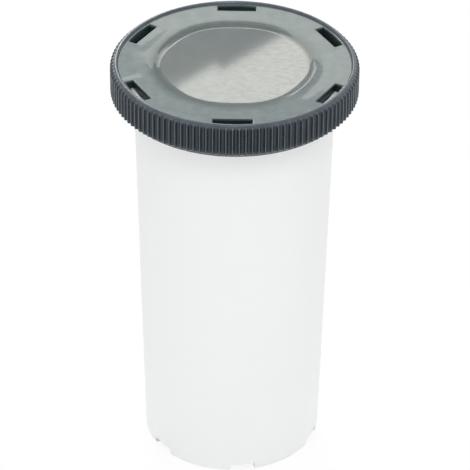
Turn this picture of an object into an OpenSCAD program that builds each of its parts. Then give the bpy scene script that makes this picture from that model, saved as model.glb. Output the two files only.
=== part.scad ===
// Paint cup with a bayonet lid.
// Origin: centre of the foot, on the surface that the cup stands on. +Z is up, millimetres.
// The lid is drawn seated and unlocked. Half the pitch of its lugs, clockwise from above, locks it.

/* [Overall] */
// Height from the foot to the top of the lid's lip
total_h = 197.3; // [150:0.1:260]
// Outside diameter of the cup's neck, which the lid is built around
neck_d = 96; // [80:0.5:120]

/* [Cup] */
// Outside diameter of the cup's wall at the foot
foot_d = 81; // [68:0.5:100]
// Outside diameter of the cup's wall below the neck
cup_top_d = 89.1; // [74:0.1:108]
// Thickness of the cup's wall
cup_wall = 1.6; // [1.2:0.1:2.4]
// Thickness of the cup's floor
floor_t = 1.8; // [1.2:0.1:3]
// Height of the foot ring under the floor
foot_h = 4; // [3:0.1:6]
// Width of the foot ring
foot_w = 2.4; // [1.8:0.1:4]
// Radius of the corner between the wall and the floor, inside
inner_round = 5; // [2:0.5:8]
// Width of a notch in the foot ring
notch_w = 10.4; // [6:0.1:14]
// Height of a notch in the foot ring
notch_h = 3.4; // [2:0.1:5]
// Thickness of the neck's wall
neck_wall = 1.8; // [1.4:0.1:2.4]
// Height of the neck's flare, between the wall and the neck
flare_h = 5; // [3:0.1:8]

/* [Bayonet] */
// How far a cam stands out of the neck
cam_depth = 2.5; // [2:0.1:3.2]
// Angle that a cam takes round the neck
cam_angle = 26; // [20:0.5:28]
// Height of a cam at its locked end
cam_h = 3; // [2:0.1:4]
// Height of a lug on the lid
lug_h = 3.4; // [2.4:0.1:4]
// Drop of a ramp over one cam
ramp_drop = 1; // [0.6:0.1:1.5]

/* [Lid] */
// Height of the lid, from the bottom of its skirt to the top of its lip
lid_h = 16.8; // [15:0.1:24]
// Thickness of the skirt at its bottom edge
skirt_wall = 1.3; // [1.2:0.1:2.4]
// How much thicker the skirt is between its ribs than at its bottom edge
skirt_taper = 1.4; // [0.4:0.1:2]
// Depth of the ribs round the skirt
rib_depth = 1.5; // [0.8:0.1:2.5]
// Number of ribs
rib_count = 120; // [72:1:132]
// Height of the plain band under the ribs
band_h = 3; // [2:0.1:6]
// Radius of the shoulder at the top of the skirt
shoulder_round = 2.4; // [1.6:0.1:3]
// Height of the lip above the plate
lip_h = 1; // [0.5:0.1:2]
// Width of the lip's sloping inner side
lip_slope = 1.2; // [0.8:0.1:1.4]
// Thickness of the plate
plate_t = 2; // [1.4:0.1:3]
// Diameter of the dish in the middle of the plate
dish_d = 79; // [50:0.5:82]
// Depth of the dish
dish_depth = 0.95; // [0.4:0.05:2]
// Width of the dish's soft edge
dish_edge = 4; // [2:0.5:8]
// Length of a slot
slot_len = 17.3; // [12:0.1:19]
// Thickness of the pocket's walls beside a slot
end_wall = 1.4; // [1:0.1:1.8]
// Depth of the soft hollow in front of a slot
pad_depth = 0.2; // [0.1:0.05:0.5]
// Width of the soft hollow in front of a slot
pad_w = 5; // [3:0.5:6]
// Turn of the lid on the cup
lid_angle = -0.9; // [-5:0.1:5]

/* [Plug and seal] */
// Depth that the lid's plug reaches below the cup's rim
plug_depth = 5.3; // [4.5:0.1:8]
// Thickness of the plug's wall
plug_wall = 2; // [1.8:0.1:3]
// Height of the seal ring
seal_h = 2; // [1.6:0.1:2.6]
// Depth of the seal's groove in the plug
groove_depth = 1.2; // [0.8:0.1:1.3]

/* [Fits] */
// Gap between parts that move on each other
gap = 0.3; // [0.2:0.05:0.4]
// Gap round the seal ring
seal_gap = 0.25; // [0.2:0.01:0.3]

/* [Hidden] */

starts = 6;
pitch_angle = 360 / starts;
edge_round = 1;
notch_turn = 7.4;
// How far a piece of a moulding is sunk into the one that carries it
deep = 0.4;
// Small chamfers and roundings
soft = 0.3;
// Lead-in at the plug's nose and relief at its top
nose = 0.8;

neck_r = neck_d / 2;
neck_in_r = neck_r - neck_wall;
cam_r = neck_r + cam_depth;
skirt_in_r = cam_r + gap;
skirt_r = skirt_in_r + skirt_wall;
valley_r = skirt_r + skirt_taper;
crest_r = valley_r + rib_depth;
plug_r = neck_in_r - gap;
lug_in_r = neck_r + gap;
slot_in = neck_in_r - gap / 2;
slot_out = skirt_in_r + gap / 3;

lid_bottom = total_h - lid_h;
plate_z = total_h - lip_h;
plate_low = plate_z - plate_t;
rim_drop = 2.4;
rim_z = plate_low - rim_drop;
plug_bottom = rim_z - plug_depth;
neck_z = lid_bottom + 0.5;
flare_z = neck_z - flare_h;
floor_z = foot_h + floor_t;

lip_r = crest_r - shoulder_round;
rib_bottom = lid_bottom + band_h;
rib_round = 0.75 * shoulder_round;
dome_z = plate_z - rib_round;

cam_drop = 2.4;
cam_top = rim_z - cam_drop;
cam_low = cam_top - cam_h;
ramp_tilt = atan(ramp_drop / (cam_r * cam_angle * PI / 180));
lug_angle = 2 * asin(slot_len / 2 / skirt_in_r);
seal_z = rim_z - plug_depth / 2;

// Outside radius of the cup's drafted wall at height z
function wall_r(z) = foot_d / 2 + (cup_top_d - foot_d) / 2 * z / flare_z;

// Points on an arc round [x, z], from angle a to angle b
function arc(x, z, r, a, b, steps = 6) =
    [for (i = [0:steps]) let (t = a + (b - a) * i / steps) [x + r * cos(t), z + r * sin(t)]];

// Points on an S-curve from p to q that starts and ends along `dir`, 0 for radial and 1 for upright
function s_curve(p, q, dir, steps = 8) =
    [for (i = [0:steps]) let (t = i / steps, s = (1 - cos(180 * t)) / 2)
        dir == 0 ? [p[0] + (q[0] - p[0]) * t, p[1] + (q[1] - p[1]) * s]
                 : [p[0] + (q[0] - p[0]) * s, p[1] + (q[1] - p[1]) * t]];

// Repeats its children at every start, from a first angle
module at_starts(first = 0) {
    for (i = [0:starts - 1]) rotate(first + i * pitch_angle) children();
}

// Cup

module cup() {
    color("white")
    union() {
        difference() {
            rotate_extrude($fn = 180) cup_section();
            foot_notches();
        }
        at_starts(lid_angle + pitch_angle / 2) cam();
    }
}

// Half section of the cup: foot ring, drafted wall, flare and neck
module cup_section() {
    inner = wall_r(floor_z + inner_round) - cup_wall;
    polygon(concat(
        [[0, foot_h]],
        [[wall_r(0) - foot_w, foot_h], [wall_r(0) - foot_w, 0]],
        arc(wall_r(0) - edge_round, edge_round, edge_round, -90, 0),
        s_curve([wall_r(flare_z), flare_z], [neck_r, neck_z], 1),
        arc(neck_r - deep, rim_z - deep, deep, 0, 90, 3),
        arc(neck_in_r + deep, rim_z - deep, deep, 90, 180, 3),
        s_curve([neck_in_r, neck_z], [wall_r(flare_z) - cup_wall, flare_z], 1),
        arc(inner - inner_round, floor_z + inner_round, inner_round, 0, -90, 8),
        [[0, floor_z]]
    ));
}

// Notches that let water out of the foot ring
module foot_notches() {
    at_starts(notch_turn - 90)
        translate([foot_d / 2 - 2 * foot_w, -notch_w / 2, -notch_h])
            cube([3 * foot_w, notch_w, 2 * notch_h]);
}

// Cam on the neck. The ramp under it draws the lid down, and its locked end reaches lower, as a stop.
// It is drawn round -Y, and the lug comes to it from its +X side.
module cam() {
    locked_y = -cam_r * sin(lug_angle / 2) - gap;
    rotate(-90) difference() {
        rotate([0, 0, -cam_angle / 2]) rotate_extrude(angle = cam_angle, $fn = 180) cam_section();
        translate([0, locked_y, cam_low + ramp_drop / 2]) rotate([ramp_tilt, 0, 0])
            translate([neck_r - cam_depth, 0, -2 * lug_h])
                cube([3 * cam_depth, cam_r, 2 * lug_h + locked_y * sin(ramp_tilt)]);
    }
}

// Section of a cam, from its stop's low end to its chamfered top
module cam_section() {
    low = cam_low - lug_h / 2;
    polygon([
        [neck_r - deep, low], [cam_r, low],
        [cam_r, cam_top - cam_depth / 2], [neck_r - deep, cam_top]
    ]);
}

// Lid

module lid() {
    color("dimgray")
    rotate(lid_angle) union() {
        difference() {
            union() {
                rotate_extrude($fn = 180) ring_section();
                rotate_extrude($fn = 180) plate_section();
            }
            at_starts() slot();
            at_starts() pad();
        }
        at_starts() pocket_walls();
        at_starts() lug();
        plug();
        ribs();
    }
}

// Skirt, shoulder and lip, without the ribs. The skirt widens from its bottom edge to the ribs,
// and the lip's inner side slopes down to the plate.
module ring_section() {
    bend = valley_r - lip_r;
    polygon(concat(
        [[skirt_in_r, lid_bottom], [skirt_r - soft, lid_bottom], [skirt_r, lid_bottom + soft]],
        [[valley_r, rib_bottom - soft]],
        arc(lip_r, total_h - bend, bend, 0, 90, 5),
        [[lip_r - soft, total_h], [lip_r - lip_slope, plate_z]],
        [[lip_r - lip_slope, plate_z - plate_t / 2], [skirt_in_r, plate_z - plate_t / 2]]
    ));
}

// The plate with its dish, which steps down along a soft edge
module plate_section() {
    edge_out = [dish_d / 2, plate_z];
    edge_in = [dish_d / 2 - dish_edge, plate_z - dish_depth];
    under_out = [dish_d / 2 - plate_t / 2, plate_low];
    under_in = [dish_d / 2 - dish_edge - plate_t / 2, plate_low - dish_depth];
    polygon(concat(
        [[0, under_in[1]]], s_curve(under_in, under_out, 0),
        [[skirt_in_r + deep, plate_low], [skirt_in_r + deep, plate_z]],
        s_curve(edge_out, edge_in, 0), [[0, edge_in[1]]]
    ));
}

// Ribs round the skirt: half-round columns, trimmed to a domed top and a rounded bottom end
module ribs() {
    end_round = 2 * soft;
    intersection() {
        translate([0, 0, rib_bottom]) linear_extrude(total_h - rib_bottom) polygon(rib_outline());
        rotate_extrude($fn = 180) polygon(concat(
            [[skirt_in_r + deep, rib_bottom]],
            arc(crest_r - end_round, rib_bottom + end_round, end_round, -90, 0, 2),
            arc(crest_r - rib_round, dome_z, rib_round, 0, 90, 5),
            [[skirt_in_r + deep, plate_z]]
        ));
    }
}

// Outline of all ribs: a half ellipse for each, with a narrow valley between. A valley faces the middle
// of each slot. The feet lie a little inside the skirt, and the crests outside the band that trims them.
function rib_outline() =
    let (pitch = 360 / rib_count, share = 0.88, sunk = 0.05, proud = 0.07, steps = 4)
    [for (k = [0:rib_count - 1], i = [0:steps])
        let (t = 180 - 180 * i / steps, a = (k + 0.5) * pitch + share * pitch / 2 * cos(t))
        let (r = valley_r - sunk + (rib_depth + sunk + proud) * sin(t))
        [r * cos(a), r * sin(a)]];

// Plan of what lies between a slot's straight inner edge and its ends, drawn well past the skirt
module slot_band(grow = 0) {
    rotate(-90) translate([slot_in - grow, -slot_len / 2 - end_wall * sign(grow)])
        square([crest_r - slot_in, slot_len + 2 * end_wall * sign(grow)]);
}

// Slot through the plate: straight inside, round outside, with a small step back into the skirt
module slot() {
    translate([0, 0, rim_z]) linear_extrude(total_h - rim_z) intersection() {
        circle(r = slot_out, $fn = 180);
        slot_band();
    }
}

// Soft hollow in front of a slot, a plane that sinks towards it
module pad() {
    margin = 1.9;
    length = slot_len + 2 * margin;
    rotate(-90) translate([neck_in_r - pad_w, -length / 2, plate_z])
        rotate([0, atan(pad_depth / pad_w), 0])
            cube([slot_out - neck_in_r + pad_w - deep, length, 3 * lip_h]);
}

// Walls of the pocket below a slot, which end just over the cup's rim
module pocket_walls() {
    translate([0, 0, rim_z + gap]) linear_extrude(plate_low - rim_z - gap + plate_t / 4) difference() {
        intersection() {
            circle(r = skirt_in_r + deep, $fn = 180);
            slot_band(grow = slot_in - plug_r + plug_wall / 2);
        }
        slot_band();
    }
}

// Lug inside the skirt, under a slot, with a ramp on top that matches the cam's
module lug() {
    lug_top = cam_low + ramp_drop / 2 - gap;
    rotate(-90) difference() {
        rotate([0, 0, -lug_angle / 2]) rotate_extrude(angle = lug_angle, $fn = 180)
            translate([lug_in_r, lug_top - lug_h])
                square([skirt_in_r + deep - lug_in_r, lug_h + ramp_drop]);
        translate([0, 0, lug_top]) rotate([ramp_tilt, 0, 0])
            translate([lug_in_r - cam_depth, -cam_r / 2, 0]) cube([3 * cam_depth, cam_r, 3 * ramp_drop]);
    }
}

// Plug that reaches into the neck, with a groove for the seal, a tapered nose and a relief at the rim
module plug() {
    groove_h = seal_h + 2 * seal_gap;
    rotate_extrude($fn = 180) polygon([
        [plug_r - plug_wall, plate_low + plate_t / 4], [plug_r - plug_wall, plug_bottom],
        [plug_r - nose, plug_bottom], [plug_r, plug_bottom + nose],
        [plug_r, seal_z - groove_h / 2], [plug_r - groove_depth, seal_z - groove_h / 2],
        [plug_r - groove_depth, seal_z + groove_h / 2], [plug_r, seal_z + groove_h / 2],
        [plug_r, rim_z - nose], [plug_r - nose, rim_z], [plug_r - nose, plate_low + plate_t / 4]
    ]);
}

// Soft ring in the plug's groove that wipes the inside of the neck
module lid_seal() {
    in_r = plug_r - groove_depth + seal_gap;
    out_r = neck_in_r - seal_gap;
    bulge = seal_h / 4;
    color("black")
    rotate_extrude($fn = 180) polygon([
        [in_r, seal_z - seal_h / 2], [plug_r, seal_z - seal_h / 2], [out_r, seal_z - bulge],
        [out_r, seal_z + bulge], [plug_r, seal_z + seal_h / 2], [in_r, seal_z + seal_h / 2]
    ]);
}

cup();
lid();
lid_seal();
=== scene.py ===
"""Paint cup with a lid: a tall translucent cup and a dark, ribbed bayonet lid with a dished plate.

Every visible piece is a numpy surface that replaces its CAD node and stays in that node's space.
Lengths are millimetres until `surface()` writes them to a mesh in metres, and angles are degrees.
Only the lamps and the floor are placed in metres.
"""

import bpy
import numpy as np
from mathutils import Matrix, Quaternion, Vector


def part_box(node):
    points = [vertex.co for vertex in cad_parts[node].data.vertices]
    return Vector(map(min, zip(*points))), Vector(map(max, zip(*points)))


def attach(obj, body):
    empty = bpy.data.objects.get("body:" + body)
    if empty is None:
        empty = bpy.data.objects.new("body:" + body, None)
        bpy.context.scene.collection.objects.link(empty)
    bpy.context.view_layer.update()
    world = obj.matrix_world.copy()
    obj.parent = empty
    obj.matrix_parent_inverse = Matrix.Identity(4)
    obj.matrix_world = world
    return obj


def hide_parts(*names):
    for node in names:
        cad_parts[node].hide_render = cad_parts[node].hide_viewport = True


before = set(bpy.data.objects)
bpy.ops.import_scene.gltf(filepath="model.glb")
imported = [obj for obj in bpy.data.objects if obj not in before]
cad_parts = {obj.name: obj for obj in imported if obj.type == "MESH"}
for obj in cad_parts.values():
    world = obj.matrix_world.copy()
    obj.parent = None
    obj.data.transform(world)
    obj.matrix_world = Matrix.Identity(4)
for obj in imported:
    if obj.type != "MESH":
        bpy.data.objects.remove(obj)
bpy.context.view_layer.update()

MM = 0.001

# Camera, from the photograph's perspective
IMAGE = 470
FOCAL_PX = 3191
ELEVATION = 34.2
ROLL = 0.5
DISTANCE = 1456
TARGET_Z = 104.7
OFFSET_PX = -1.7
SENSOR = 36

# Heights and radii that the frame gives
_, cup_high = (np.array(c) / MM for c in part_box("cup"))
lid_low, lid_high = (np.array(c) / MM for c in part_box("lid"))
seal_low, seal_high = (np.array(c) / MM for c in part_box("lid_seal"))
RIM_Z, LID_BOTTOM, LID_TOP, CREST_R = cup_high[2], lid_low[2], lid_high[2], lid_high[0]

# Cup: drafted wall from FOOT_R to TOP_R, then a flare FLARE_H high up to the neck
FOOT_R, TOP_R, NECK_R = 40.5, 44.55, 48.0
CUP_WALL, NECK_WALL = 1.6, 1.8
FOOT_H, FOOT_W, FLOOR_T, FLOOR_EDGE = 4.0, 2.4, 1.8, 0.3
FOOT_ROUND, INNER_ROUND, RIM_ROUND = 1.0, 5.0, 0.4
NOTCH_W, NOTCH_H, NOTCH_TURN = 11.6, 3.4, 7.4
NECK_Z, FLARE_H, FLARE_BLEND = LID_BOTTOM + 0.5, 5.0, 2.0

# Bayonet: six starts, with a lug under each slot and a cam between two slots
STARTS = 6
PITCH = 360 / STARTS
CAM_R, CAM_ANGLE, CAM_H, CAM_SLANT = 50.5, 26.0, 3.0, 1.25
CAM_TOP = RIM_Z - 2.4
LUG_H, RAMP_DROP, GAP, ROOT = 3.4, 1.0, 0.3, 0.4

# Lid: skirt, ribs with flutes between them, shoulder and lip
LID_TURN = -0.9
SKIRT_IN_R, SKIRT_R, VALLEY_R = CAM_R + GAP, 52.1, 53.5
SKIRT_ROUND, SKIRT_EDGE_H = 0.4, 0.7
LIP_R, LIP_H, LIP_W, LIP_ROUND, SHOULDER_ROUND = CREST_R - 2.4, 1.0, 1.2, 0.3, 0.9
RIBS, RIB_TURN, BAND_H = 120, 0.2, 2.7
FLUTE_SHARE, FLUTE_MARGIN, CREST_ROUND = 0.84, 0.05, 0.15
DOME_H, RIB_FOOT_H = 1.8, 0.5

# Two runs of a section are STEP apart. Points closer than MERGE, in metres, are one
STEP = 0.1
MERGE = 1e-7

# Plate: a rim sloping inwards, a dish, and a pad round each slot
PLATE_Z, PLATE_T, PLATE_SEAT = LID_TOP - LIP_H, 2.0, 1.2
CONE_R, CONE_SLOPE, CONE_OVERLAP = 51.5, 0.035, 2.0
DISH_R, DISH_EDGE, DISH_DEPTH, DISH_WAVE = 32.5, 6.5, 0.4, 0.012
DISH_BENDS = (0.6, 0.03)
PAD_DEPTH, PAD_HALF, PAD_R, PAD_EDGE = 0.05, 13.5, 38.5, 5.0
SLOT_LEN, SLOT_IN, SLOT_OUT = 17.3, 46.05, 50.8
SLOT_ROUND_H, SLOT_ROUND_W = 0.12, 0.25
END_WALL, WALL_STEP = 1.4, 0.05

# Plug, its groove and the seal in it
PLUG_R, PLUG_WALL, PLUG_BOTTOM, PLUG_TOP = 45.9, 2.0, RIM_Z - 5.3, PLATE_Z - 1.6
PLUG_NOSE, PLUG_EDGE = 0.8, 0.2
GROOVE_DEPTH, SEAL_GAP, SEAL_ROUND, SEAL_EDGE = 1.2, 0.25, 0.4, 0.1


# Curves and meshes


def arc(x, z, r, a, b, steps):
    """Points on the circle of radius r round (x, z), from angle a to angle b."""
    t = np.radians(np.linspace(a, b, steps + 1))
    return np.stack([x + r * np.cos(t), z + r * np.sin(t)], 1)


def line(p, q, steps=1):
    """Points from p to q, evenly spaced."""
    t = np.linspace(0, 1, steps + 1)[:, None]
    return np.asarray(p) * (1 - t) + np.asarray(q) * t


def s_curve(p, q, steps):
    """Points from p to q: evenly spaced in height, with the radius eased in and out by a cosine."""
    t = np.linspace(0, 1, steps + 1)
    ease = (1 - np.cos(np.pi * t)) / 2
    return np.stack([p[0] + (q[0] - p[0]) * ease, p[1] + (q[1] - p[1]) * t], 1)


def smooth(x):
    """Smoothstep: 0 below 0, 1 above 1, with level ends."""
    x = np.clip(x, 0, 1)
    return x * x * (3 - 2 * x)


def ramp(x, start, end):
    """0 below 0, 1 above 1 and straight between, with a parabola over the first `start` and the
    last `end`."""
    x = np.clip(x, 0, 1)
    low = np.minimum(x, start) ** 2 / (2 * start)
    high = np.maximum(x - 1 + end, 0) ** 2 / (2 * end)
    return (low + np.maximum(x - start, 0) - high) / (1 - (start + end) / 2)


def spun(r, z, angle):
    """Points at radius r and height z. The angle is 0 towards the camera and grows towards +X."""
    a = np.radians(angle - 90)
    return np.stack(np.broadcast_arrays(r * np.cos(a), r * np.sin(a), z), -1)


def quads(rows, columns, wrap_rows=False, wrap_columns=False):
    """Corner indices of the cells of a grid of rows x columns points, as an array (cells, 4)."""
    i, j = np.meshgrid(
        np.arange(rows if wrap_rows else rows - 1),
        np.arange(columns if wrap_columns else columns - 1),
        indexing="ij",
    )
    i, j = i.ravel(), j.ravel()
    i2, j2 = (i + 1) % rows, (j + 1) % columns
    return np.stack([i * columns + j, i * columns + j2, i2 * columns + j2, i2 * columns + j], 1)


def outward(points, faces):
    """The faces, turned round if the volume that they enclose is negative."""
    p = points[faces]
    n = np.cross(p[:, 2] - p[:, 0], p[:, 3] - p[:, 1])
    return faces if (p.mean(1) * n).sum() > 0 else faces[:, ::-1]


def revolved(profile, angles):
    """A closed section in (radius, height), turned through all angles: rows follow the section."""
    p = np.asarray(profile)
    points = spun(p[:, None, 0], p[:, None, 1], np.asarray(angles)[None, :])
    return points, quads(len(p), len(angles), wrap_rows=True, wrap_columns=True)


def swept(sections):
    """Closed sections of four points each, (n, 4, 3), joined in a row and capped at both ends."""
    n = len(sections)
    caps = np.array([[0, 1, 2, 3], [(n - 1) * 4 + k for k in (3, 2, 1, 0)]])
    body = quads(n, 4, wrap_columns=True)
    first = body[0]
    points = sections.reshape(-1, 3)
    side = np.cross(points[first[2]] - points[first[0]], points[first[3]] - points[first[1]])
    away = points[first].mean(0) - points[:4].mean(0)
    return points, np.concatenate([body if side @ away > 0 else body[:, ::-1], caps])


def surface(name, parts, material, body, slot, cad_node, sharp=35):
    """A piece made of closed parts, each (points in mm, quads). Points in one place are merged, and
    edges past `sharp` degrees stay sharp."""
    points, faces, start = [], [], 0
    for p, f in parts:
        p = np.asarray(p, float).reshape(-1, 3)
        points.append(p)
        faces.append(outward(p, f) + start)
        start += len(p)
    points, faces = np.concatenate(points) * MM, np.concatenate(faces)
    places = np.round(points / MERGE).astype(np.int64)
    _, first, index = np.unique(places, axis=0, return_index=True, return_inverse=True)
    corners = [list(dict.fromkeys(f)) for f in index.ravel()[faces].tolist()]
    mesh = bpy.data.meshes.new(name)
    mesh.from_pydata(points[first].tolist(), [], [c for c in corners if len(c) > 2])
    mesh.shade_smooth()
    mesh.set_sharp_from_angle(angle=np.radians(sharp))
    mesh.materials.append(material)
    piece = bpy.data.objects.new(name, mesh)
    bpy.context.scene.collection.objects.link(piece)
    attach(piece, body)
    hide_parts(cad_node)


# Materials


def linear(hex_colour):
    """An sRGB colour such as '#d8dde0' as linear RGBA."""
    c = np.array([int(hex_colour[i:i + 2], 16) for i in (1, 3, 5)]) / 255
    c = np.where(c <= 0.04045, c / 12.92, ((c + 0.055) / 1.055) ** 2.4)
    return (*c.tolist(), 1.0)


def per(size):
    """Repeats per metre of a pattern whose grains are `size` mm across."""
    return 1 / (size * MM)


def node(tree, kind, settings=None, links=None):
    """Adds a node of that kind, with its settings, then its links as {input: socket}. A node given
    in place of a socket stands for its first output."""
    n = tree.nodes.new(kind)
    for key, value in (settings or {}).items():
        if key in n.inputs:
            n.inputs[key].default_value = value
        else:
            setattr(n, key, value)
    for key, source in (links or {}).items():
        socket = source.outputs[0] if isinstance(source, bpy.types.Node) else source
        tree.links.new(socket, n.inputs[key])
    return n


def empty_material(name):
    """A material with an empty node tree, that tree, and the object's own coordinates."""
    m = bpy.data.materials.new(name)
    m.use_nodes = True
    t = m.node_tree
    t.nodes.clear()
    return m, t, node(t, "ShaderNodeTexCoord").outputs["Object"]


def cloudy(t, where, size, colours, places=(0.0, 1.0), detail=3.0):
    """Two close colours in soft clouds `size` mm across, pure at the two `places` of the noise."""
    cloud = node(t, "ShaderNodeTexNoise", {"Scale": per(size), "Detail": detail}, {"Vector": where})
    tone = node(t, "ShaderNodeValToRGB", None, {"Fac": cloud})
    for element, colour, place in zip(tone.color_ramp.elements, colours, places):
        element.color, element.position = linear(colour), place
    return tone


def between(start, end, low=0.0, high=1.0):
    """Settings for a smooth change from `low` to `high` as a length goes from start to end mm."""
    return {
        "interpolation_type": "SMOOTHSTEP",
        "From Min": start * MM, "From Max": end * MM, "To Min": low, "To Max": high,
    }


def natural_polypropylene():
    """Injection-moulded natural polypropylene: milky white, with light that sinks in a little and a
    soft satin skin. Its tone drifts over 30 mm. The skin's grain is drawn 0.9 mm wide, coarser than
    the real one, so that it shows."""
    m, t, where = empty_material("natural_polypropylene")
    tone = cloudy(t, where, 30, ("#f6fafb", "#f9fbfc"), detail=2.0)
    skin = node(t, "ShaderNodeTexNoise", {"Scale": per(0.9), "Detail": 2.0}, {"Vector": where})
    bump = node(t, "ShaderNodeBump", {"Strength": 0.05, "Distance": 0.1 * MM}, {"Height": skin})
    shader = node(
        t,
        "ShaderNodeBsdfPrincipled",
        {
            "Roughness": 0.42,
            "IOR": 1.49,
            "Subsurface Weight": 0.5,
            "Subsurface Radius": (1.0, 1.0, 1.0),
            "Subsurface Scale": 1.2 * MM,
        },
        {"Base Color": tone, "Normal": bump},
    )
    node(t, "ShaderNodeOutputMaterial", None, {"Surface": shader})
    return m


def lid_plastic(name, roughness, deep, pale, radii, heights, wave, polished=False):
    """Injection-moulded plastic, dyed dark grey. It turns from the colours `deep` to the colours
    `pale` between two radii and between two heights: where both say so on the polished plate, and
    where either does on the satin ribs. The `pale` colours are painted light: a painted reflection
    on the plate's sloping rim, and a painted highlight on the ribs' crests and shoulder. The
    colour's clouds are 12 and 5 mm wide. The skin waves over `wave` mm, and scuffs of 3 by 1.4 mm,
    drawn wider than real ones so that they show, change the gloss a little. A polished mould gives
    the dish a sharp reflection over the soft one, and it fades on the plate's rim."""
    m, t, where = empty_material(name)
    level = node(t, "ShaderNodeMapping", {"Scale": (1, 1, 0)}, {"Vector": where})
    radius = node(t, "ShaderNodeVectorMath", {"operation": "LENGTH"}, {0: level}).outputs["Value"]
    height = node(t, "ShaderNodeSeparateXYZ", None, {"Vector": where}).outputs["Z"]
    # Painted light: the pale colours paint a reflection on the plate's rim and a highlight on the
    # ribs' crests and shoulder
    outer = node(t, "ShaderNodeMapRange", between(*radii), {"Value": radius})
    upper = node(t, "ShaderNodeMapRange", between(*heights), {"Value": height})
    both = {"operation": "MULTIPLY" if polished else "MAXIMUM"}
    change = node(t, "ShaderNodeMath", both, {0: outer, 1: upper})
    colour = node(t, "ShaderNodeMix", {"data_type": "RGBA"}, {
        "Factor": change,
        "A": cloudy(t, where, 12, deep, (0.35, 0.65)),
        "B": cloudy(t, where, 5, pale, (0.35, 0.65)),
    }).outputs["Result"]

    skin = node(t, "ShaderNodeTexNoise", {"Scale": per(wave), "Detail": 1.0}, {"Vector": where})
    bump = node(t, "ShaderNodeBump", {"Strength": 0.02, "Distance": 0.1 * MM}, {"Height": skin})
    lengthwise = {"Rotation": (0, 0, 0.5), "Scale": (per(3), per(1.4), per(3))}
    stretch = node(t, "ShaderNodeMapping", lengthwise, {"Vector": where})
    fine = {"Scale": 1.0, "Detail": 4.0, "Roughness": 0.65}
    scuffs = node(t, "ShaderNodeTexNoise", fine, {"Vector": stretch})
    spread = {
        "From Min": 0.35, "From Max": 0.65, "To Min": roughness - 0.06, "To Max": roughness + 0.06,
    }
    rough = node(t, "ShaderNodeMapRange", spread, {"Value": scuffs})
    links = {"Base Color": colour, "Normal": bump, "Roughness": rough}
    if polished:
        grain = {"From Min": 0.4, "From Max": 0.6, "To Min": 0.74}
        dulled = node(t, "ShaderNodeMapRange", grain, {"Value": scuffs})
        dish = between(DISH_R - 1, DISH_R + 2.5, 0.9, 0.29)
        sharp = node(t, "ShaderNodeMapRange", dish, {"Value": radius})
        polish = node(t, "ShaderNodeMath", {"operation": "MULTIPLY"}, {0: sharp, 1: dulled})
        links |= {"Coat Weight": polish, "Coat Normal": bump}
    shader = node(
        t,
        "ShaderNodeBsdfPrincipled",
        {
            "IOR": 1.5,
            "Specular IOR Level": 0.32 if polished else 0.5,
            "Specular Tint": (0.85, 0.98, 1.0, 1.0),
            "Coat Roughness": 0.045,
        },
        links,
    )
    node(t, "ShaderNodeOutputMaterial", None, {"Surface": shader})
    return m


def moulded_rubber():
    """Moulded black rubber: matt, with a soft sheen and specks of pale dust about 2 mm apart."""
    m, t, where = empty_material("moulded_rubber")
    tone = cloudy(t, where, 2, ("#1b1c1d", "#2a2b2c"), detail=4.0)
    matt = {"Roughness": 0.75, "IOR": 1.52}
    shader = node(t, "ShaderNodeBsdfPrincipled", matt, {"Base Color": tone})
    node(t, "ShaderNodeOutputMaterial", None, {"Surface": shader})
    return m


# Cup


def cup_wall_r(z):
    """Outside radius of the cup's drafted wall: a straight line from the foot to the flare."""
    return FOOT_R + (TOP_R - FOOT_R) * z / (NECK_Z - FLARE_H)


def cup_body():
    """The cup's section, turned round the axis. Inside a notch, points of the foot ring below the
    notch's top are lifted to it: z = max(z, notch height)."""
    flare, above_notch = NECK_Z - FLARE_H, NOTCH_H + STEP / 2
    wall_top = flare - FLARE_BLEND
    floor = FOOT_H + FLOOR_T
    foot_in, neck_in = FOOT_R - FOOT_W, NECK_R - NECK_WALL
    corner = cup_wall_r(floor + INNER_ROUND) - CUP_WALL
    profile = np.concatenate([
        line((0, FOOT_H), (foot_in, FOOT_H), 8),
        line((foot_in, FOOT_H - FLOOR_EDGE), (foot_in, 0), 2),
        arc(FOOT_R - FOOT_ROUND, FOOT_ROUND, FOOT_ROUND, -90, 0, 6),
        line((cup_wall_r(above_notch), above_notch), (cup_wall_r(wall_top), wall_top), 40),
        s_curve((TOP_R, flare), (NECK_R, NECK_Z), 14),
        line((NECK_R, NECK_Z + 1), (NECK_R, RIM_Z - RIM_ROUND - STEP), 3),
        arc(NECK_R - RIM_ROUND, RIM_Z - RIM_ROUND, RIM_ROUND, 0, 90, 4),
        arc(neck_in + RIM_ROUND, RIM_Z - RIM_ROUND, RIM_ROUND, 90, 180, 4),
        s_curve((neck_in, NECK_Z), (TOP_R - CUP_WALL, flare), 14),
        line((cup_wall_r(wall_top) - CUP_WALL, wall_top), (corner, floor + INNER_ROUND), 30),
        arc(corner - INNER_ROUND, floor + INNER_ROUND, INNER_ROUND, 0, -90, 8)[1:],
        line((corner - INNER_ROUND, floor), (0, floor), 8)[1:],
    ])
    # Columns lie close together at a notch's two ends, where the foot steps up over `rise` degrees
    half, rise = np.degrees(np.arcsin(NOTCH_W / 2 / FOOT_R)), 0.4
    end = np.array([-0.35, -0.1, 0.1, 0.35])
    inside = np.linspace(-half, half, 8)[1:-1]
    outside = np.linspace(half, PITCH - half, 14)[1:-1]
    turn = NOTCH_TURN + np.concatenate([end - half, inside, end + half, outside])
    angles = (turn[None, :] + PITCH * np.arange(STARTS)[:, None]).ravel()
    away = np.abs((angles - NOTCH_TURN + PITCH / 2) % PITCH - PITCH / 2) - half
    lift = NOTCH_H * smooth(0.5 - away / rise)
    points, faces = revolved(profile, angles)
    foot = (profile[:, 1] < NOTCH_H)[:, None]
    points[..., 2] = np.where(foot, np.maximum(points[..., 2], lift[None, :]), points[..., 2])
    return points, faces


def lug_half_angle():
    """Half the angle that a lug covers: as long as a slot, at the skirt's inside."""
    return np.degrees(np.arcsin(SLOT_LEN / 2 / SKIRT_IN_R))


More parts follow.
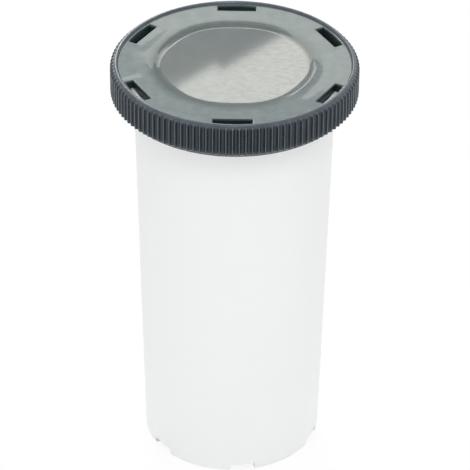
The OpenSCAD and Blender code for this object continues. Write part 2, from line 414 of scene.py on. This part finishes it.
def cup_cams():
    """Six cams: a four-sided section carried round the neck, whose underside is a ramp that rises
    with the angle, with a lower stop at its locked end."""
    low = CAM_TOP - CAM_H
    stop = -lug_half_angle() - np.degrees(GAP / CAM_R)
    at_stop = np.linspace(-CAM_ANGLE / 2, stop, 4)
    angle = np.concatenate([at_stop, np.linspace(stop + 0.01, CAM_ANGLE / 2, 16)])
    under = np.where(
        angle <= stop,
        low - LUG_H / 2,
        low + RAMP_DROP * (angle / CAM_ANGLE + 0.5),
    )
    inner, outer = NECK_R - ROOT, CAM_R
    made = []
    for k in range(STARTS):
        at = LID_TURN + (k + 0.5) * PITCH + angle
        made.append(swept(np.stack([
            spun(inner, under, at), spun(outer, under, at),
            spun(outer, CAM_TOP - CAM_SLANT, at), spun(inner, CAM_TOP, at),
        ], 1)))
    return made


# Lid


def lid_ring():
    """Skirt, shoulder and lip, with a rib at every pitch and a flute between two ribs. The section
    runs along a rib's crest: lip, shoulder, a quarter ellipse, a column and a rounded foot. A flute
    cuts into it: radius = the smaller of the section's radius and crest - depth * sqrt(1 - (u /
    half)^2), where u runs across the flute and the change from one to the other is rounded. Where
    the section bends over at the top, the cut ends in an arch."""
    dome_z, foot_z = PLATE_Z - DOME_H, LID_BOTTOM + BAND_H
    depth = CREST_R - VALLEY_R
    t = np.radians(np.linspace(0, 90, 13))
    dome = np.stack([VALLEY_R + depth * np.cos(t), dome_z + DOME_H * np.sin(t)], 1)[::-1]
    t = t[::3]
    foot = np.stack([VALLEY_R + depth * np.cos(t), foot_z - RIB_FOOT_H * np.sin(t)], 1)
    ribbed = np.concatenate([dome, line((CREST_R, dome_z), (CREST_R, foot_z), 5)[1:-1], foot])
    above = np.concatenate([
        arc(LIP_R - LIP_ROUND, LID_TOP - LIP_ROUND, LIP_ROUND, 135, 90, 3),
        arc(LIP_R, LID_TOP - SHOULDER_ROUND, SHOULDER_ROUND, 90, 6, 7),
    ])
    band_top = (VALLEY_R, foot_z - RIB_FOOT_H - STEP)
    band_low = (SKIRT_R + STEP, LID_BOTTOM + SKIRT_EDGE_H)
    ledge_z, lip_in = PLATE_Z - PLATE_SEAT, LIP_R - LIP_W
    below = np.concatenate([
        line(band_top, band_low, 4),
        arc(SKIRT_R - SKIRT_ROUND, LID_BOTTOM + SKIRT_ROUND, SKIRT_ROUND, 0, -90, 4),
        line((SKIRT_IN_R, LID_BOTTOM), (SKIRT_IN_R, ledge_z), 2),
        [(lip_in, ledge_z), (lip_in, PLATE_Z + STEP)],
    ])
    profile = np.concatenate([above, ribbed, below])

    half = FLUTE_SHARE / 2
    across = half * np.sin(np.radians(np.linspace(-90, 90, 13)))
    across = np.append(across, [half + 0.04, 0.5])
    round_part = np.sqrt(np.clip(1 - (across / half) ** 2, 0, 1))
    flute = CREST_R + FLUTE_MARGIN - (depth + FLUTE_MARGIN) * round_part
    middles = LID_TURN + RIB_TURN + (np.arange(RIBS) + 0.5) * 360 / RIBS
    angles = (middles[:, None] + across * 360 / RIBS).ravel()

    radius = np.repeat(profile[:, :1], len(angles), 1)
    rows = slice(len(above), len(above) + len(ribbed))
    cut = np.tile(flute, RIBS)[None, :]
    apart = np.sqrt((radius[rows] - cut) ** 2 + CREST_ROUND ** 2)
    rounded = (radius[rows] + cut - apart + CREST_ROUND / 2) / 2
    radius[rows] = np.clip(rounded, VALLEY_R, radius[rows])
    points = spun(radius, profile[:, 1:], angles[None, :])
    return points, quads(*radius.shape, wrap_rows=True, wrap_columns=True)


def slot_distance(x, y):
    """Signed distance from a slot's straight inner edge and ends, in the slot's own axes:
    x runs out along the radius, y along the slot. Inside the slot it is negative."""
    return np.maximum(SLOT_IN - x, np.abs(y) - SLOT_LEN / 2)


def plate_cone(r):
    """How far the plate's rim has sloped down at radius r: straight inwards, then level."""
    return CONE_SLOPE * np.clip(CONE_R - r, 0, CONE_R - DISH_R - CONE_OVERLAP)


def plate_top(r, a):
    """Height of the plate. r is the radius and a the angle from the nearest slot. A rim that slopes
    gently inwards, a ramp with rounded ends down to a level dish, wider between two slots, a
    shallow pad round each slot, and a rounded edge at the slot."""
    x, y = r * np.cos(np.radians(a)), r * np.sin(np.radians(a))
    edge = (DISH_R + DISH_EDGE) * (1 - DISH_WAVE * np.cos(np.radians(STARTS * a)))
    dish = DISH_DEPTH * ramp((edge - r) / DISH_EDGE, *DISH_BENDS)
    pad = smooth((PAD_HALF - np.abs(y)) / PAD_EDGE) * smooth((x - PAD_R) / PAD_EDGE)
    slot_edge = smooth((SLOT_ROUND_W - slot_distance(x, y)) / SLOT_ROUND_W) * (r < SLOT_OUT + 0.3)
    return PLATE_Z - plate_cone(r) - dish - PAD_DEPTH * pad - SLOT_ROUND_H * slot_edge


def plate_under(r, a):
    """Height of the plate's underside: sloped and dished as the top is, and drawn down round each
    slot to make the walls of its pocket, which end just over the cup's rim."""
    x, y = r * np.cos(np.radians(a)), r * np.sin(np.radians(a))
    dish = DISH_DEPTH * smooth((DISH_R + DISH_EDGE - r) / DISH_EDGE)
    level = PLATE_Z - PLATE_T - plate_cone(r) - dish
    wall = smooth((END_WALL - slot_distance(x, y)) / WALL_STEP)
    return level + (RIM_Z + GAP - level) * wall


def lid_plate():
    """The plate: two height fields over one polar grid whose lines bend to follow each slot's
    straight edge and ends. Cells inside a slot are left out, and walls join the two fields along
    every open border but the centre."""
    half, half_pitch, slot_rows = SLOT_LEN / 2, PITCH / 2, 7
    # Distances from a slot's edge at which the grid has a line, two of them astride the wall's foot
    near = np.array([0, 0.06, 0.15, 0.25, 0.6, END_WALL - 0.03, END_WALL + 0.03, 2.0, 2.8])
    inside = np.linspace(-half, half, 23)[1:-1]
    across = np.concatenate([-half - near[::-1], inside, half + near])
    base = np.degrees(np.arcsin(across / np.hypot(SLOT_IN, half)))
    rest = np.linspace(base[-1], PITCH - base[-1], 22)[1:-1]
    column_base = np.concatenate([base, rest])
    first = len(near) - 1
    last = first + len(inside) + 1
    lip_in = LIP_R - LIP_W
    # Rows lie close together over the dish's edge and the start of the pads
    fine_from, fine_to = 31, 42.5
    rows = np.concatenate([
        np.linspace(0, fine_from, 20),
        np.linspace(fine_from, fine_to, 34)[1:],
        SLOT_IN - near[::-1],
        np.linspace(SLOT_IN, SLOT_OUT, slot_rows + 1)[1:-1],
        [SLOT_OUT, SLOT_OUT + 0.12, SLOT_OUT + 0.25, lip_in, lip_in + 0.3],
    ])
    row_in = int(np.argmin(np.abs(rows - SLOT_IN)))
    row_out = row_in + slot_rows

    r = np.repeat(rows[:, None], len(column_base), 1)
    a = np.repeat(column_base[None, :], len(rows), 0)
    # Near a slot, rows up to the straight edge are chords: radius = row / cos(angle)
    past_edge = smooth((rows[:, None] - SLOT_IN) / (SLOT_OUT - SLOT_IN))
    bend = smooth((rows[:, None] - 30) / 8) * (1 - past_edge)
    held = np.minimum(np.abs(np.where(a > half_pitch, PITCH - a, a)), base[last])
    r = r * (1 + bend * (1 / np.cos(np.radians(held)) - 1))
    # Columns beside a slot keep their distance along it: angle = asin(across / radius)
    n = len(base)
    follow = smooth((r[:, :n] - 38) / 4)
    sine = np.clip(across[None, :] / np.maximum(r[:, :n], 20), -1, 1)
    a[:, :n] += follow * (np.degrees(np.arcsin(sine)) - a[:, :n])
    # Columns between two slots share out what the columns beside them moved
    slack = np.linspace(1, 0, len(rest) + 2)[1:-1]
    a[:, n:] += slack[None, :] * (a[:, n - 1] - base[-1])[:, None]
    a[:, n:] += slack[None, ::-1] * (a[:, 0] - base[0])[:, None]

    nearest = np.where(a > half_pitch, a - PITCH, a)
    angle = np.concatenate([a + LID_TURN + PITCH * k for k in range(STARTS)], 1)
    fields = (r, plate_top(r, nearest), plate_under(r, nearest))
    radius, high, low = (np.tile(v, (1, STARTS)) for v in fields)
    upper, lower = spun(radius, high, angle), spun(radius, low, angle)

    columns = len(column_base) * STARTS
    cells = quads(len(rows), columns, wrap_columns=True)
    row, column = cells[:, 0] // columns, cells[:, 0] % columns % len(column_base)
    slot = (row >= row_in) & (row < row_out) & (column >= first) & (column < last)
    cells = cells[~slot]
    # A border edge belongs to one cell only. Edges between points of the first row are the centre
    size = len(rows) * columns
    edges = np.concatenate([cells[:, [k, (k + 1) % 4]] for k in range(4)])
    keys = np.sort(edges, 1) @ np.array([size, 1])
    _, where, counts = np.unique(keys, return_index=True, return_counts=True)
    border = edges[where[counts == 1]]
    border = border[(border >= columns).any(1)]
    walls = np.stack([border[:, 1], border[:, 0], border[:, 0] + size, border[:, 1] + size], 1)
    faces = np.concatenate([cells, cells[:, ::-1] + size, walls])
    return np.concatenate([upper.reshape(-1, 3), lower.reshape(-1, 3)]), faces


def lid_plug():
    """The plug's section, turned round the axis, with a groove for the seal and a tapered nose."""
    inner, groove_r = PLUG_R - PLUG_WALL, PLUG_R - GROOVE_DEPTH
    groove_low, groove_high = seal_low[2] - SEAL_GAP, seal_high[2] + SEAL_GAP
    profile = [
        (inner, PLUG_TOP),
        (inner, PLUG_BOTTOM + PLUG_EDGE),
        (inner + PLUG_EDGE, PLUG_BOTTOM),
        (PLUG_R - PLUG_NOSE, PLUG_BOTTOM),
        (PLUG_R, PLUG_BOTTOM + PLUG_NOSE),
        (PLUG_R, groove_low),
        (groove_r, groove_low),
        (groove_r, groove_high),
        (PLUG_R, groove_high),
        (PLUG_R, RIM_Z - PLUG_NOSE),
        (PLUG_R - PLUG_NOSE, RIM_Z),
        (PLUG_R - PLUG_NOSE, PLUG_TOP),
    ]
    return revolved(profile, np.arange(0, 360, 2))


def lid_lugs():
    """Six lugs: a four-sided section carried round the skirt's inside, with a ramp on top that has
    the cams' slope."""
    half = lug_half_angle()
    angle = np.linspace(-half, half, 14)
    high = CAM_TOP - CAM_H + RAMP_DROP / 2 - GAP
    top = high + RAMP_DROP * angle / CAM_ANGLE
    inner, outer = NECK_R + GAP, SKIRT_IN_R + ROOT
    made = []
    for k in range(STARTS):
        at = LID_TURN + k * PITCH + angle
        made.append(swept(np.stack([
            spun(inner, high - LUG_H, at), spun(outer, high - LUG_H, at),
            spun(outer, top, at), spun(inner, top, at),
        ], 1)))
    return made


def seal_ring():
    """A soft ring: square where it sits in the groove, round where it wipes the neck."""
    low, high = seal_low[2], seal_high[2]
    inner, outer = PLUG_R - GROOVE_DEPTH + SEAL_GAP, seal_high[1]
    shoulder = outer - SEAL_ROUND - 2 * SEAL_EDGE
    profile = np.concatenate([
        [(inner, high - SEAL_EDGE), (inner, low + SEAL_EDGE)],
        [(inner + SEAL_EDGE, low), (shoulder, low)],
        arc(outer - SEAL_ROUND, (low + high) / 2, SEAL_ROUND, -80, 80, 10),
        [(shoulder, high), (inner + SEAL_EDGE, high)],
    ])
    return revolved(profile, np.arange(0, 360, 2))


# Camera, lamps, floor and background


def camera():
    """The photograph's view: a long lens from the front and above, with a slight roll."""
    e, roll = np.radians(ELEVATION), np.radians(ROLL)
    back = np.array([0, -np.cos(e), np.sin(e)])
    right, up = np.array([1, 0, 0]), np.array([0, np.sin(e), np.cos(e)])
    across = np.cos(roll) * right + np.sin(roll) * up
    upright = np.cos(roll) * up - np.sin(roll) * right
    data = bpy.data.cameras.new("camera")
    data.sensor_width = SENSOR
    data.lens = FOCAL_PX / IMAGE * SENSOR
    data.shift_x = -OFFSET_PX / IMAGE
    data.clip_start, data.clip_end = 0.1, 50
    m = Matrix.Identity(4)
    for k, axis in enumerate((across, upright, back)):
        m.col[k][:3] = axis
    m.translation = Vector((np.array([0, 0, TARGET_Z]) + back * DISTANCE) * MM)
    cam = bpy.data.objects.new("camera", data)
    cam.matrix_world = m
    bpy.context.scene.collection.objects.link(cam)
    bpy.context.scene.camera = cam


def lamp(name, place, size, strength, target=None, colour="#fffef4", turn=0):
    """A rectangular soft lamp at `place`, turned about its own axis. It faces `target`, or straight
    to the front. Its strength is its radiance, where 1 is as bright as the white background."""
    data = bpy.data.lights.new(name, "AREA")
    data.shape = "RECTANGLE"
    data.size, data.size_y = size
    data.energy = strength * np.pi * data.size * data.size_y
    data.color = linear(colour)[:3]
    made = bpy.data.objects.new(name, data)
    made.location = place
    target = target or (place[0], 0, place[2])
    facing = (Vector(target) - Vector(place)).to_track_quat("-Z", "Y")
    made.rotation_euler = (facing @ Quaternion((0, 0, 1), np.radians(turn))).to_euler()
    made.visible_camera = False
    bpy.context.scene.collection.objects.link(made)


def lamps():
    """The two key lamps stand end to end on a slant, with a small step between them. The dish shows
    their edge as the kinked diagonal between its dark and its bright half. The side lamp lights the
    dish's right edge and the lip's left."""
    key, slant = 5.8, 33.9
    lamp("key_softbox_left", (-0.1222, 1.15, 1.045), (0.35, 0.14), key, turn=slant)
    lamp("key_softbox_right", (0.0692, 1.15, 0.9255), (0.101, 0.14), key, turn=slant)
    lamp("side_softbox_left", (-0.222, 1.15, 0.7795), (0.3, 0.3), 8.0, turn=-15.7)
    lamp("rear_softbox", (0, 1.15, 1.7), (1.0, 0.6), 2.2, target=(0, 0, 0.2))
    white = "#ffffff"
    lamp("front_softbox", (0.1, -1.0, 1.6), (0.62, 0.52), 5.2, target=(0, 0, 0.15), colour=white)


def seen_rays(t):
    """1 for camera, glossy and transmission rays, and 0 for the rays that light the object."""
    path = node(t, "ShaderNodeLightPath").outputs
    larger = {"operation": "MAXIMUM"}
    seen = {0: path["Is Camera Ray"], 1: path["Is Glossy Ray"]}
    near = node(t, "ShaderNodeMath", larger, seen)
    return node(t, "ShaderNodeMath", larger, {0: near, 1: path["Is Transmission Ray"]})


def background():
    """White where it is seen, and softer where it lights the object."""
    world = bpy.data.worlds.new("studio")
    bpy.context.scene.world = world
    world.use_nodes = True
    t = world.node_tree
    t.nodes.clear()
    softer = {"To Min": 0.8, "To Max": 1.0}
    level = node(t, "ShaderNodeMapRange", softer, {"Value": seen_rays(t)})
    sky = node(t, "ShaderNodeBackground", {"Color": linear("#ffffff")}, {"Strength": level})
    node(t, "ShaderNodeOutputWorld", None, {"Surface": sky})


def floor():
    """A plain white floor that shows as white and keeps a soft shadow of the object."""
    m, t, _ = empty_material("studio_floor")
    white = node(t, "ShaderNodeEmission", {"Color": linear("#ffffff"), "Strength": 1.0})
    matt = node(t, "ShaderNodeBsdfDiffuse", {"Color": linear("#fbfbfb")})
    share = node(t, "ShaderNodeMapRange", {"To Min": 0.0, "To Max": 0.88}, {"Value": seen_rays(t)})
    mix = node(t, "ShaderNodeMixShader", None, {"Fac": share, 1: matt, 2: white})
    node(t, "ShaderNodeOutputMaterial", None, {"Surface": mix})
    half = 3.0
    corners = [(-half, -half, 0), (half, -half, 0), (half, half, 0), (-half, half, 0)]
    mesh = bpy.data.meshes.new("floor")
    mesh.from_pydata(corners, [], [(0, 1, 2, 3)])
    mesh.materials.append(m)
    obj = bpy.data.objects.new("floor", mesh)
    bpy.context.scene.collection.objects.link(obj)


def build():
    """All pieces of the object."""
    cup = natural_polypropylene()
    grip = lid_plastic(
        "satin_moulded_plastic",
        roughness=0.22,
        deep=("#282e35", "#31373f"),
        # Painted highlight: pale colours on the crests (radii) and on the shoulder and dome tops
        # (heights)
        pale=("#474e56", "#535a62"),
        radii=(CREST_R - 0.6, CREST_R - 0.1),
        heights=(PLATE_Z - 1.6, PLATE_Z - 0.2),
        wave=1.5,
    )
    plate = lid_plastic(
        "polished_moulded_plastic",
        roughness=0.4,
        deep=("#1f2f31", "#29393b"),
        # Painted reflection: pale colours on the top of the plate's rim, outside the dish
        pale=("#546264", "#606d6f"),
        radii=(33.0, 41.0),
        heights=(PLATE_Z - 1.3, PLATE_Z - 0.8),
        wave=9.0,
        polished=True,
    )
    on_cup, on_lid = ("cup", "cup_plastic", "cup"), ("lid", "lid_plastic", "lid")
    surface("cup_body", [cup_body()], cup, *on_cup)
    surface("cup_cams", cup_cams(), cup, *on_cup)
    surface("lid_ring", [lid_ring()], grip, *on_lid, sharp=60)
    surface("lid_plate", [lid_plate()], plate, *on_lid, sharp=50)
    surface("lid_plug", [lid_plug()], grip, *on_lid)
    surface("lid_lugs", lid_lugs(), grip, *on_lid)
    surface("seal_ring", [seal_ring()], moulded_rubber(), "seal", "seal_rubber", "lid_seal")


bpy.context.scene.view_settings.view_transform = "Standard"
camera()
background()
floor()
lamps()
build()
